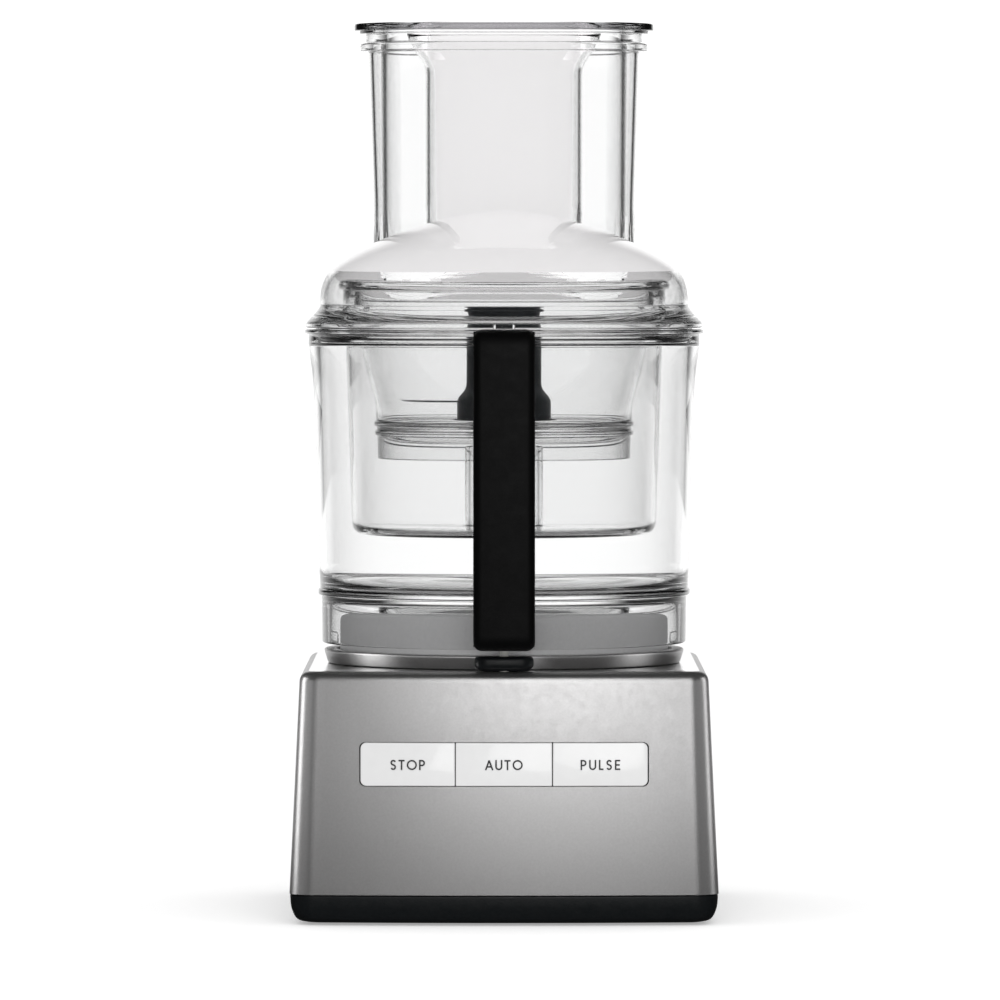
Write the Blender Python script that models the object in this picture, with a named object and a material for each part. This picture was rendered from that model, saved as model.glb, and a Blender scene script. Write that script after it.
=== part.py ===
"""Food processor: a motor base with three nested clear bowls, a domed lid and two pushers.

Sizes are in millimetres and are scaled to metres as each mesh is made. The origin is on the floor, on the
motor's axis. +X is to the right of someone facing the keys, +Y is to the rear and +Z is up.
"""
import bpy
import bmesh
from math import cos, hypot, pi, sin
from mathutils import Vector

MM = 0.001
GAP = 0.35                     # clearance between pieces that touch
FACETS = 24                    # sides of a large round
FINE_FACETS = 16               # sides of a small round

# Base, from the floor up
FOOT_HEIGHT = 1.2
TRAY_BOTTOM, TRAY_TOP = 1.5, 14.7
HOUSING_BOTTOM, HOUSING_TOP = 15.0, 124.0
HALF_WIDTH, FRONT, REAR = 105.0, -112.0, 130.5
BOW = 5.0                      # how far the front's middle stands ahead of its corners
LEAN = 5.2                     # how far each side leans in from bottom to top
WALL = 3.0
COLLAR_TOP, DRUM_TOP = 131.0, 151.5
DRUM_RADIUS = 82.0

# Keys
KEY_BOTTOM, KEY_TOP = 68.6, 89.4
KEY_EDGES = ((-70.1, -24.1), (-23.5, 23.3), (23.9, 70.1))
STEM_END = -100.2

# Motor
SHAFT_RADIUS, SHAFT_BOTTOM, SHAFT_TOP = 5.0, 19.0, 290.0
STACK_BOTTOM, STACK_TOP = 45.0, 95.0
STACK_BORE, STACK_RADIUS = 26.0, 45.0

# Bowls
RIM_TOP = 290.5
BOWL_FLOOR = 156.0
MIDI_FLOOR = 188.0
MINI_FLOOR = 239.0

# Lid and feed tube
FLANGE_BOTTOM = 291.2
DOME = ((99.0, 294.0), (97.6, 295.2), (93.0, 300.4), (92.0, 302.0), (91.9, 309.0), (90.4, 314.8), (87.5, 319.5),
        (82.6, 324.0), (75.0, 328.9), (66.5, 333.0), (52.0, 339.0), (37.0, 343.8), (20.0, 348.0), (1.0, 350.0))
DOME_WALL = 2.0
TUBE_CENTRE_Y, TUBE_DEPTH = 42.0, 33.0
TUBE_TOP = 434.0
PUSHER_TOP = 444.0

# Handle and safety rod
HANDLE_FRONT, HANDLE_HALF = -132.0, 15.0
ROD_Y, PLUNGER_Y = -121.0, -100.0
ROD_TOP = 290.9
LUG_BOTTOM = 291.5


# ---------------------------------------------------------------- helpers

def clear_scene():
    """Start from an empty file."""
    for item in list(bpy.data.objects):
        bpy.data.objects.remove(item, do_unlink=True)


def material(name, colour, roughness, metallic=0.0, alpha=1.0):
    """One Principled material."""
    made = bpy.data.materials.get(name) or bpy.data.materials.new(name)
    made.use_nodes = True
    shader = made.node_tree.nodes["Principled BSDF"]
    shader.inputs["Base Color"].default_value = (*colour, 1.0)
    shader.inputs["Roughness"].default_value = roughness
    shader.inputs["Metallic"].default_value = metallic
    shader.inputs["Alpha"].default_value = alpha
    made.diffuse_color = (*colour, alpha)
    return made


def body(name, parent=None):
    """Empty on the motor's axis that carries one moving group."""
    group = bpy.data.objects.new(name, None)
    group.parent = parent
    bpy.context.scene.collection.objects.link(group)
    return group


def solid(name, loops, look, carrier, ring=False):
    """Join matching loops of points into one closed body, capped at both ends or closed into a ring."""
    mesh = bmesh.new()
    rows = [[mesh.verts.new(Vector(point) * MM) for point in loop] for loop in loops]
    pairs = list(zip(rows, rows[1:]))
    if ring:
        pairs.append((rows[-1], rows[0]))
    else:
        mesh.faces.new(rows[0])
        mesh.faces.new(rows[-1])
    for lower, upper in pairs:
        count = len(lower)
        for index in range(count):
            after = (index + 1) % count
            mesh.faces.new((lower[index], lower[after], upper[after], upper[index]))
    bmesh.ops.recalc_face_normals(mesh, faces=mesh.faces)
    data = bpy.data.meshes.new(name)
    mesh.to_mesh(data)
    mesh.free()
    data.shade_smooth()
    data.set_sharp_from_angle(angle=0.6)
    data.materials.append(look)
    made = bpy.data.objects.new(name, data)
    made.parent = carrier
    bpy.context.scene.collection.objects.link(made)
    return made


def circle(radius, z, count=FACETS, centre=(0.0, 0.0)):
    """Level ring of points."""
    return [(centre[0] + radius * cos(2 * pi * step / count), centre[1] + radius * sin(2 * pi * step / count), z)
            for step in range(count)]


def turned(name, outline, look, carrier, count=FACETS, ring=True, centre=(0.0, 0.0)):
    """Body turned about an upright axis from an outline of (radius, height)."""
    return solid(name, [circle(radius, z, count, centre) for radius, z in outline], look, carrier, ring)


def box(name, low, high, look, carrier):
    """Box between two corners."""
    loops = [[(low[0], low[1], z), (high[0], low[1], z), (high[0], high[1], z), (low[0], high[1], z)]
             for z in (low[2], high[2])]
    return solid(name, loops, look, carrier)


def combine(target, operation, tools):
    """Cut each tool from the target, or fuse it on, and leave the tool as a hidden guide."""
    for tool in tools:
        step = target.modifiers.new(operation + " " + tool.name, "BOOLEAN")
        step.operation = operation
        step.object = tool
        step.solver = "EXACT"
        tool.hide_render = True
        tool.display_type = "WIRE"


def extruded(name, outline, half_width, edge, look, carrier):
    """Side view of (y, z) points made into a bar across X, with both edges rounded by the given width."""
    steps = ((-half_width, edge * 0.9), (-half_width + edge * 0.3, edge * 0.3), (-half_width + edge, 0.0),
             (half_width - edge, 0.0), (half_width - edge * 0.3, edge * 0.3), (half_width, edge * 0.9))
    loops = [[(x, y, z) for y, z in inset(outline, amount)] for x, amount in steps]
    return solid(name, loops, look, carrier)


def inset(outline, amount):
    """Anticlockwise outline moved inwards by the same amount along every side."""
    count = len(outline)
    moved = []
    for index, point in enumerate(outline):
        before = Vector(point) - Vector(outline[index - 1])
        after = Vector(outline[(index + 1) % count]) - Vector(point)
        before.normalize()
        after.normalize()
        left = Vector((-before.y - after.y, before.x + after.x))
        left /= left.length_squared / 2
        moved.append((point[0] + left.x * amount, point[1] + left.y * amount))
    return moved


def arc(centre, radius, start, end, steps):
    """Points along an arc, with angles in quarter turns."""
    return [(centre[0] + radius * cos((start + (end - start) * step / steps) * pi / 2),
             centre[1] + radius * sin((start + (end - start) * step / steps) * pi / 2))
            for step in range(steps + 1)]


# ---------------------------------------------------------------- the base's outline

def lean_at(z):
    """How far the base's sides have leaned in at a height."""
    return LEAN * (z - HOUSING_BOTTOM) / (HOUSING_TOP - HOUSING_BOTTOM)


def front_at(x, z):
    """The front face's Y at a place on it."""
    return FRONT + lean_at(z) + BOW * (x / (HALF_WIDTH - lean_at(z))) ** 2


def base_loop(shrink, z):
    """Outline of the base at a height: a bowed front, and corners that are rounder at the rear."""
    half = HALF_WIDTH - shrink
    front, rear = FRONT + shrink, REAR - shrink
    front_corner, rear_corner = max(12.0 - shrink * 0.5, 4.0), max(26.0 - shrink, 8.0)
    reach = half - front_corner
    bow = [(x, front + BOW * (x / half) ** 2) for x in (reach * step / 4 for step in range(-4, 5))]
    side = front + BOW * (reach / half) ** 2 + front_corner
    points = bow + arc((reach, side), front_corner, -1, 0, 4)[1:]
    points += arc((half - rear_corner, rear - rear_corner), rear_corner, 0, 1, 5)
    points += arc((rear_corner - half, rear - rear_corner), rear_corner, 1, 2, 5)
    points += arc((-reach, side), front_corner, 2, 3, 4)[:-1]
    return [(x, y, z) for x, y in points]


def base_circle(radius, z):
    """Circle with its points in the same directions as the base outline's."""
    return [(radius * x / hypot(x, y), radius * y / hypot(x, y), z) for x, y, _ in base_loop(0.0, 0.0)]


SCREW_PLACES = tuple((x, y) for y in (-84.0, 100.0) for x in (-84.0, 84.0))
FOOT_PLACES = tuple((x, y) for y in (-66.0, 86.0) for x in (-66.0, 66.0))


# ---------------------------------------------------------------- the base

def make_housing(base):
    """Metallic shell: leaning walls, a rounded top edge and a hole for the motor's drum."""
    outer = [base_loop(lean_at(z), z) for z in (HOUSING_BOTTOM, 118.0)]
    outer += [base_loop(LEAN + more, z) for more, z in ((0.5, 121.0), (2.4, 123.2), (5.0, HOUSING_TOP))]
    inner = [base_loop(LEAN + 4.0, 121.0), base_loop(LEAN + WALL, 117.0), base_loop(WALL, HOUSING_BOTTOM)]
    rims = [base_circle(76.0, HOUSING_TOP), base_circle(76.0, 121.0)]
    housing = solid("base_housing", outer + rims + inner, SILVER, base, ring=True)
    window = [[(x, y, z) for x, z in key_outline(-70.7, 70.7, KEY_BOTTOM - 0.6, KEY_TOP + 0.6, 3.8)]
              for y in (-120.0, -98.0)]
    cuts = [solid("key_window_cutter", window, GUIDE, base),
            turned("plunger_cutter", ((2.7, 110.0), (2.7, 130.0)), GUIDE, base, 16, False, (0.0, PLUNGER_Y)),
            across_y("gland_cutter", ((7.1, 118.0), (7.1, 140.0)), (60.0, 30.0), GUIDE, base, ring=False)]
    posts = [turned("screw_post_%d" % number, ((4.6, 8.4), (4.6, 122.0)), GUIDE, base, 12, False, place)
             for number, place in enumerate(SCREW_PLACES, 1)]
    bores = [turned("screw_bore_%d" % number, ((1.95, 8.0), (1.95, 26.0)), GUIDE, base, 12, False, place)
             for number, place in enumerate(SCREW_PLACES, 1)]
    combine(housing, "UNION", posts)
    combine(housing, "DIFFERENCE", cuts + bores)


def across_y(name, outline, centre, look, carrier, ring=True, count=FINE_FACETS):
    """Body turned about an axis along Y, from an outline of (radius, y)."""
    loops = [[(centre[0] + radius * cos(2 * pi * step / count), y, centre[1] + radius * sin(2 * pi * step / count))
              for step in range(count)] for radius, y in outline]
    return solid(name, loops, look, carrier, ring)


def make_tray(base):
    """Black pan with a rounded lower edge, foot holes, screw seats and cooling slots."""
    outer = [base_loop(shrink, z) for shrink, z in ((9.5, TRAY_BOTTOM), (6.0, 2.6), (3.0, 5.4), (0.9, 9.6),
                                                    (0.3, TRAY_TOP))]
    inner = [base_loop(shrink, z) for shrink, z in ((3.0, TRAY_TOP), (5.6, 6.4), (9.5, 4.5))]
    tray = solid("bottom_tray", outer + inner, BLACK, base)
    seats = [turned("screw_seat_%d" % number, ((6.0, 3.0), (6.0, 8.0)), GUIDE, base, 12, False, place)
             for number, place in enumerate(SCREW_PLACES, 1)]
    holes = [turned("screw_hole_%d" % number, ((3.9, 0.0), (3.9, 5.0), (1.95, 5.0), (1.95, 9.0)), GUIDE, base, 12,
                    False, place) for number, place in enumerate(SCREW_PLACES, 1)]
    holes += [turned("foot_hole_%d" % number, ((3.8, 0.0), (3.8, 6.0)), GUIDE, base, 12, False, place)
              for number, place in enumerate(FOOT_PLACES, 1)]
    slots = [box("slot_cutter_%d" % number, (-31.5 + 9.0 * number, 20.0, 0.0), (-27.5 + 9.0 * number, 48.0, 6.0),
                 GUIDE, base) for number in range(7)]
    combine(tray, "UNION", seats)
    combine(tray, "DIFFERENCE", holes + slots)


def make_feet(base):
    """Four rubber feet, each with a plug through the pan."""
    outline = ((8.4, 0.0), (9.0, 0.5), (9.0, FOOT_HEIGHT), (3.4, FOOT_HEIGHT), (3.4, 5.6))
    for number, place in enumerate(FOOT_PLACES, 1):
        turned("foot_%d" % number, outline, RUBBER, base, 16, False, place)


def make_tray_screws(base):
    """Four screws from below into the housing's posts."""
    outline = ((2.9, 2.4), (3.5, 3.0), (3.5, 4.6), (1.5, 4.6), (1.5, 19.0), (0.5, 21.0))
    for number, place in enumerate(SCREW_PLACES, 1):
        turned("tray_screw_%d" % number, outline, STEEL, base, 12, False, place)


def make_collar_and_drum(base):
    """The low ring that the bowl stands over, and the drum that centres it."""
    turned("seat_collar", ((84.0, 124.3), (88.0, 124.3), (90.0, 130.0), (89.4, COLLAR_TOP), (84.0, COLLAR_TOP)),
           SILVER, base)
    turned("drive_drum", ((DRUM_RADIUS, 124.3), (DRUM_RADIUS, 149.6), (80.4, DRUM_TOP), (12.0, DRUM_TOP),
                          (12.0, 148.5), (78.8, 148.5), (78.8, 124.3)), SILVER, base)


def make_interlock(base):
    """The block under the handle, the plunger that runs in it and the switch below."""
    outline = ((-106.0, 124.35), (-92.4, 124.35), (-92.4, 130.6), (-105.0, 130.6), (-106.0, 129.4))
    block = extruded("interlock_block", outline, 14.5, 1.2, BLACK, base)
    combine(block, "DIFFERENCE", [turned("block_bore", ((2.7, 120.0), (2.7, 135.0)), GUIDE, base, 16, False,
                                         (0.0, PLUNGER_Y))])
    plunger = body("plunger_body", base)
    turned("switch_plunger", ((2.2, 110.0), (2.2, 134.9), (1.5, 135.6)), PALE, plunger, 16, False, (0.0, PLUNGER_Y))
    switch = box("safety_switch", (-10.0, -103.0, 97.0), (10.0, -96.0, 107.0), DARK, base)
    combine(switch, "UNION", [box("switch_lever", (-8.0, -101.5, 106.0), (3.0, -98.0, 109.5), GUIDE, base)])


def make_gland(base):
    """Bush in the rear wall where the cord leaves."""
    across_y("mains_gland", ((3.6, 120.0), (6.6, 120.0), (6.6, 130.3), (9.0, 130.3), (8.6, 132.0), (3.6, 132.0)),
             (60.0, 30.0), BLACK, base)


# ---------------------------------------------------------------- keys

def key_outline(left, right, bottom, top, corner):
    """Rounded rectangle of (x, z)."""
    points = []
    for quarter, (x, z) in enumerate(((right - corner, top - corner), (left + corner, top - corner),
                                      (left + corner, bottom + corner), (right - corner, bottom + corner))):
        points += arc((x, z), corner, quarter, quarter + 1, 4)
    return points


def make_keys(base):
    """Three keys side by side that follow the bowed front, each with a stem to its switch."""
    for name, (left, right) in zip(("button_stop", "button_auto", "button_pulse"), KEY_EDGES):
        carrier = body(name + "_body", base)
        face = key_outline(left, right, KEY_BOTTOM, KEY_TOP, 2.8)
        small = key_outline(left + 0.5, right - 0.5, KEY_BOTTOM + 0.5, KEY_TOP - 0.5, 2.3)
        middle, height = (left + right) / 2, (KEY_BOTTOM + KEY_TOP) / 2
        stem = key_outline(middle - 15, middle + 15, height - 6, height + 6, 2.0)
        loops = [[(x, front_at(x, z) + depth, z) for x, z in outline]
                 for outline, depth in ((small, -0.2), (face, 0.3), (face, 3.2), (stem, 3.2))]
        loops.append([(x, STEM_END, z) for x, z in stem])
        solid(name, loops, WHITE, carrier)


def make_key_carrier(base):
    """Dark frame behind the front wall with a guide hole for each stem."""
    def slab(name, reach, bottom, top, near, far, look):
        loops = [[(x, front_at(x, z) + depth, z) for z, depth in ((bottom, near), (top, near), (top, far),
                                                                  (bottom, far))]
                 for x in (reach * step / 6 for step in range(-6, 7))]
        return solid(name, loops, look, base)

    frame = slab("key_carrier", 76.0, 64.5, 93.5, 4.1, 7.3, DARK)
    height = (KEY_BOTTOM + KEY_TOP) / 2
    holes = [box("stem_cutter_%d" % number, ((left + right) / 2 - 15.6, -112.0, height - 6.6),
                 ((left + right) / 2 + 15.6, -90.0, height + 6.6), GUIDE, base)
             for number, (left, right) in enumerate(KEY_EDGES, 1)]
    combine(frame, "DIFFERENCE", [slab("pocket_cutter", 72.0, 66.8, 91.2, 1.0, 5.4, GUIDE)] + holes)


def make_key_board(base):
    """Circuit board with one switch behind each stem."""
    board = box("key_board", (-68.0, -96.8, 66.0), (68.0, -95.2, 92.0), BOARD, base)
    height = (KEY_BOTTOM + KEY_TOP) / 2
    switches = [box("tact_switch_%d" % number, ((left + right) / 2 - 4, -98.0, height - 4),
                    ((left + right) / 2 + 4, -96.0, height + 4), GUIDE, base)
                for number, (left, right) in enumerate(KEY_EDGES, 1)]
    combine(board, "UNION", switches)


# ---------------------------------------------------------------- motor

def make_motor(base):
    """Stator with its coils, two end shields and two bearings, all fixed in the base."""
    turned("motor_stator", ((STACK_BORE, STACK_BOTTOM), (STACK_RADIUS, STACK_BOTTOM), (STACK_RADIUS, STACK_TOP),
                            (STACK_BORE, STACK_TOP)), STEEL, base)
    middle = (STACK_BOTTOM + STACK_TOP) / 2
    for side, word in ((1, "upper"), (-1, "lower")):
        half = (STACK_TOP - STACK_BOTTOM) / 2

        def away(outline, side=side, half=half):
            return [(radius, middle + side * (half + height)) for radius, height in outline]

        turned("winding_" + word, away(((31.0, GAP), (40.0, GAP), (42.0, 4.0), (41.0, 11.0), (36.0, 13.5),
                                        (31.0, 11.0), (29.5, 4.0))), COPPER, base, FINE_FACETS)
        turned("motor_shield_" + word, away(((48.0, GAP), (48.0, 19.0), (13.4, 19.0), (13.4, 15.5), (45.2, 15.5),
                                             (45.2, GAP))), ALUMINIUM, base, FINE_FACETS)
        turned("bearing_" + word, away(((SHAFT_RADIUS + GAP, 15.5), (13.0, 15.5), (13.0, 23.0),
                                        (SHAFT_RADIUS + GAP, 23.0))), STEEL, base, FINE_FACETS)


def make_rotor(rotor):
    """Everything that the motor turns: shaft, core and fan."""
    turned("motor_shaft", ((4.0, SHAFT_BOTTOM), (SHAFT_RADIUS, SHAFT_BOTTOM + 1), (SHAFT_RADIUS, SHAFT_TOP - 3),
                           (3.8, SHAFT_TOP)), STEEL, rotor, FINE_FACETS, False)
    turned("rotor_core", ((SHAFT_RADIUS + GAP, 46.0), (STACK_BORE - 0.8, 46.0), (STACK_BORE - 0.8, 94.0),
                          (SHAFT_RADIUS + GAP, 94.0)), ALUMINIUM, rotor)
    star = [(24.0 if step % 4 < 2 else 10.0, 2 * pi * step / FACETS) for step in range(FACETS)]
    blades = [[(radius * cos(turn), radius * sin(turn), z) for radius, turn in star] for z in (33.0, 42.0)]
    bore = [circle(SHAFT_RADIUS + GAP, z) for z in (42.0, 33.0)]
    solid("cooling_fan", blades + bore, BLACK, rotor, ring=True)


def make_electrics(base):
    """Run capacitor and the motor's control board."""
    turned("run_capacitor", ((13.0, 20.0), (14.0, 21.0), (14.0, 71.0), (13.0, 72.0), (6.0, 72.0), (6.0, 75.0)), PALE,
           base, FINE_FACETS, False, (70.0, 85.0))
    board = box("control_board", (-70.0, 114.0, 28.0), (40.0, 115.6, 92.0), BOARD, base)
    parts = (((-60, 98, 36), (-32, 114.5, 64)), ((-20, 104, 34), (4, 114.5, 52)), ((12, 106, 60), (30, 114.5, 84)))
    combine(board, "UNION", [box("board_part_%d" % number, low, high, GUIDE, base)
                             for number, (low, high) in enumerate(parts, 1)])


# ---------------------------------------------------------------- bowls

def make_main_bowl(bowl):
    """Large bowl: skirt, floor with a locating rib, flared wall, beaded rim with a ledge, and centre column."""
    turned("main_bowl", (
        (8.0, 152.4), (10.5, 152.4), (10.5, BOWL_FLOOR), (60.0, BOWL_FLOOR), (60.0, 152.0), (62.5, 152.0),
        (62.5, BOWL_FLOOR), (86.6, BOWL_FLOOR), (87.0, 134.0), (91.0, 134.0), (91.3, 152.0), (92.5, 165.0),
        (94.5, 240.0), (95.2, 262.0), (97.9, 284.0), (97.6, 288.0), (99.5, 288.6), (99.5, RIM_TOP), (95.2, RIM_TOP),
        (95.0, 283.4), (92.2, 283.4), (91.4, 262.0), (90.8, 240.0), (89.4, 168.0), (87.6, 163.0), (83.0, 160.4),
        (14.0, 160.4), (10.6, 164.0), (10.2, 235.4), (8.0, 235.4)), CLEAR, bowl)


def make_handle(bowl):
    """Black handle with a channel for the safety rod, and the strip that closes the channel."""
    outline = [(-92.3, 135.0), (-92.6, 150.0), (-93.4, 158.0), (-110.0, 160.0), (-115.6, 163.6), (-117.0, 169.0),
               (-117.0, 254.0), (-115.6, 259.6), (-110.0, 263.0), (-96.4, 266.0), (-97.2, 274.0), (-98.6, 284.2),
               (-100.1, 288.0), (-100.1, 291.0), (-124.0, 291.0), (-128.6, 290.0), (-131.2, 287.0),
               (HANDLE_FRONT, 282.0), (HANDLE_FRONT, 143.0), (-131.0, 138.4), (-128.0, 135.8), (-124.0, 135.0)]
    grip = extruded("handle_grip", outline, HANDLE_HALF, 2.6, BLACK, bowl)
    cuts = [box("channel_cutter", (-3.0, -124.0, 142.0), (3.0, -118.4, 300.0), GUIDE, bowl),
            box("foot_slot_cutter", (-3.2, -124.2, 130.0), (3.2, -96.0, 143.4), GUIDE, bowl),
            box("cover_slot_cutter", (-4.0, -119.0, 172.0), (4.0, -110.0, 252.0), GUIDE, bowl)]
    combine(grip, "DIFFERENCE", cuts)
    box("handle_cover", (-3.65, -118.3, 172.35), (3.65, -116.9, 251.65), BLACK, bowl)


def make_safety_rod(rod):
    """Rod in the handle whose foot works the plunger in the base."""
    outline = ((-97.5, 136.0), (-97.5, 138.6), (-119.3, 138.6), (-119.3, ROD_TOP), (-122.7, ROD_TOP), (-122.7, 136.0))
    extruded("safety_rod", outline, 1.7, 0.3, STEEL, rod)


def make_midi_bowl(midi):
    """Middle bowl, hung by its flange on the large bowl's ledge."""
    turned("midi_bowl", (
        (17.0, MIDI_FLOOR), (71.0, MIDI_FLOOR), (74.4, 189.6), (76.0, 193.4), (79.0, 283.0), (79.4, 283.8),
        (93.8, 283.8), (93.8, 285.6), (77.0, 285.6), (74.0, 194.0), (73.0, 191.6), (70.6, 190.5), (19.5, 190.5),
        (19.5, 235.6), (17.0, 235.6)), CLEAR, midi)


def make_mini_bowl(mini):
    """Small bowl with a conical wall, hung on the middle bowl's flange."""
    turned("mini_bowl", (
        (8.2, MINI_FLOOR), (61.4, MINI_FLOOR), (61.4, 226.0), (63.2, 226.0), (63.4, 237.4), (64.7, 237.9),
        (64.7, 239.3), (63.7, 239.9), (63.7, 241.6), (65.0, 242.0), (65.0, 244.0), (64.1, 244.6), (64.3, 253.0),
        (71.5, 283.0), (72.0, 286.0), (93.4, 286.0), (93.4, 287.6), (69.8, 287.6), (69.2, 283.0), (62.1, 253.0),
        (61.9, 243.4), (60.4, 241.5), (10.6, 241.5), (10.2, 283.0), (8.2, 283.0)), CLEAR, mini)


def make_splash_ring(ring):
    """Ring that stands on the bowls' flanges inside the lid, its upper edge tilted down to the front."""
    outline = ((90.4, 288.0), (90.4, 289.4), (84.6, 290.2), (80.7, 296.0), (80.7, 312.0), (82.8, 313.4),
               (83.0, 315.6), (81.8, 316.6), (74.6, 316.6), (73.3, 315.4), (73.3, 302.0), (75.1, 302.0),
               (75.1, 314.6), (78.9, 314.6), (78.9, 296.0), (82.4, 288.0))
    loops = []
    for radius, z in outline:
        tilt = 0.032 * min(max((z - 290.0) / 12.0, 0.0), 1.0)
        loops.append([(x, y, height + tilt * y) for x, y, height in circle(radius, z)])
    solid("splash_ring", loops, CLEAR, ring, ring=True)


# ---------------------------------------------------------------- lid, feed tube and pushers

def dome_height(radius):
    """Height of the dome's outer face at a radius."""
    for (outer, low), (inner, high) in zip(DOME, DOME[1:]):
        if inner <= radius <= outer:
            return low + (high - low) * (outer - radius) / (outer - inner)
    return DOME[-1][1] if radius < DOME[-1][0] else DOME[0][1]


def stadium(half_width, half_depth, z):
    """Level outline with round ends and straight front and rear, centred on the feed tube."""
    reach = half_width - half_depth
    points = []
    for side in (1, -1):
        points += arc((side * reach, TUBE_CENTRE_Y), half_depth, -side, 2 - side, 8)
        points += [(side * reach * (1 - step / 3), TUBE_CENTRE_Y + side * half_depth) for step in range(1, 6)]
    return [(x, y, z) for x, y in points]


def make_lid(lid):
    """Domed lid with a flange, a skirt inside the rim, a lug over the safety rod and an opening for food."""
    inner = [(max(radius - DOME_WALL, 1.0), z - DOME_WALL * 0.9) for radius, z in DOME[:1:-1]]
    skirt = [(91.7, 296.0), (91.8, 288.5), (93.6, 288.5), (93.8, FLANGE_BOTTOM), (99.0, FLANGE_BOTTOM)]
    shell = turned("lid_shell", inner + skirt + list(DOME), CLEAR, lid, FACETS, False)
    lug = box("lid_lug", (-5.4, -125.0, LUG_BOTTOM), (5.4, -96.0, 293.8), GUIDE, lid)
    combine(shell, "UNION", [lug])
    opening = solid("food_opening_cutter", [stadium(63.6, TUBE_DEPTH - 2.4, z) for z in (304.0, 380.0)], GUIDE, lid)
    combine(shell, "DIFFERENCE", [opening])


def make_feed_tube(lid):
    """Wide tube that stands on the dome, with a lip round its mouth."""
    def foot(outline):
        return [(x, y, dome_height(hypot(x, y)) + 0.9) for x, y, _ in outline]

    loops = [foot(stadium(66.0, TUBE_DEPTH, 0.0)), stadium(68.4, TUBE_DEPTH + 0.6, 430.0),
             stadium(72.5, TUBE_DEPTH + 4.6, 430.0), stadium(72.5, TUBE_DEPTH + 4.6, 433.0),
             stadium(71.6, TUBE_DEPTH + 3.8, TUBE_TOP), stadium(66.3, TUBE_DEPTH - 1.6, TUBE_TOP),
             foot(stadium(63.8, TUBE_DEPTH - 2.2, 0.0))]
    solid("feed_tube", loops, CLEAR, lid, ring=True)


def make_large_pusher(pusher):
    """Hollow pusher with a wide flange and a narrow tube with a funnel mouth right through it."""
    depth = TUBE_DEPTH - 4.0
    loops = [stadium(59.6, depth - 2, 330.0), stadium(61.6, depth, 332.0), stadium(62.2, depth, 434.4),
             stadium(69.6, depth + 6, 434.4), stadium(69.6, depth + 6, 438.9), stadium(72.7, depth + 9, 438.9),
             stadium(73.0, depth + 9, 440.5), stadium(75.5, depth + 12, 440.5), stadium(75.5, depth + 12, 443.2),
             stadium(74.8, depth + 11.4, PUSHER_TOP), stadium(62.0, depth - 1, PUSHER_TOP),
             stadium(59.8, depth - 2.4, 438.0), stadium(59.2, depth - 2.4, 334.4), stadium(39.5, 24.0, 334.4),
             stadium(39.5, 24.0, 423.0), stadium(49.6, 25.0, 437.0), stadium(48.0, 23.6, 437.6),
             stadium(37.6, 22.0, 423.6), stadium(37.6, 22.0, 330.0)]
    solid("large_pusher", loops, CLEAR, pusher, ring=True)


def make_small_pusher(small):
    """Frosted cup that slides in the large pusher's tube and hangs by its collar."""
    loops = [stadium(31.0, 17.0, 336.0), stadium(34.0, 19.6, 338.0), stadium(34.6, 20.0, 421.0),
             stadium(36.0, 20.6, 424.4), stadium(46.4, 22.4, 438.4), stadium(46.4, 22.4, 440.2),
             stadium(34.0, 19.0, 440.2), stadium(32.2, 17.8, 438.0), stadium(31.6, 17.6, 339.0),
             stadium(29.0, 15.0, 338.4)]
    solid("small_pusher", loops, FROSTED, small)


# ---------------------------------------------------------------- blade

def make_blade(blade):
    """Plastic hub that drops over the column onto the shaft, with two steel wings at different heights."""
    turned("blade_hub", (
        (1.0, 291.6), (5.6, 291.6), (5.6, 284.6), (11.8, 284.6), (11.8, 243.0), (23.5, 243.0), (23.5, 257.0),
        (18.7, 262.0), (18.7, 283.0), (20.0, 286.0), (20.0, 290.0), (18.6, 292.0), (18.6, 295.0), (21.3, 295.4),
        (21.3, 296.6), (16.0, 297.0), (18.7, 299.5), (17.4, 299.5), (14.6, 297.6), (1.0, 297.6)), SLATE, blade, FACETS,
        False)
    for name, height, facing in (("blade_upper", 254.0, pi), ("blade_lower", 244.2, 0.0)):
        near, far = [], []
        for step in range(9):
            reach = step / 8
            radius = 24.2 + 36.3 * reach
            middle = facing - 0.10 * reach - 0.42 * reach ** 2
            spread = (9.0 * (1.0 - reach) ** 0.8 + 0.9) / radius
            near.append((radius, middle - spread))
            far.append((radius, middle + spread))
        width = far[0][1] - near[0][1]
        root = [(near[0][0], far[0][1] - width * step / 6) for step in range(1, 6)]
        outline = [(radius * cos(turn), radius * sin(turn)) for radius, turn in near + far[::-1] + root]
        solid(name, [[(x, y, z) for x, y in outline] for z in (height, height + 1.2)], STEEL, blade)


# ---------------------------------------------------------------- the whole

clear_scene()
SILVER = material("satin_metallic", (0.48, 0.48, 0.48), 0.35, 0.9)
BLACK = material("black_plastic", (0.012, 0.013, 0.014), 0.45)
RUBBER = material("foot_rubber", (0.03, 0.03, 0.03), 0.9)
WHITE = material("white_keys", (0.85, 0.85, 0.85), 0.25)
CLEAR = material("clear_plastic", (0.93, 0.94, 0.95), 0.08, 0.0, 0.3)
FROSTED = material("frosted_plastic", (0.85, 0.84, 0.85), 0.4, 0.0, 0.6)
SLATE = material("slate_plastic", (0.018, 0.024, 0.028), 0.4)
STEEL = material("steel", (0.6, 0.6, 0.61), 0.25, 1.0)
COPPER = material("winding_copper", (0.55, 0.24, 0.12), 0.4, 1.0)
ALUMINIUM = material("cast_aluminium", (0.6, 0.61, 0.62), 0.5, 1.0)
BOARD = material("circuit_board", (0.02, 0.16, 0.08), 0.5)
PALE = material("pale_plastic", (0.7, 0.7, 0.68), 0.5)
DARK = material("dark_plastic", (0.05, 0.05, 0.055), 0.5)
GUIDE = material("guide", (0.2, 0.4, 0.8), 0.5)

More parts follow.
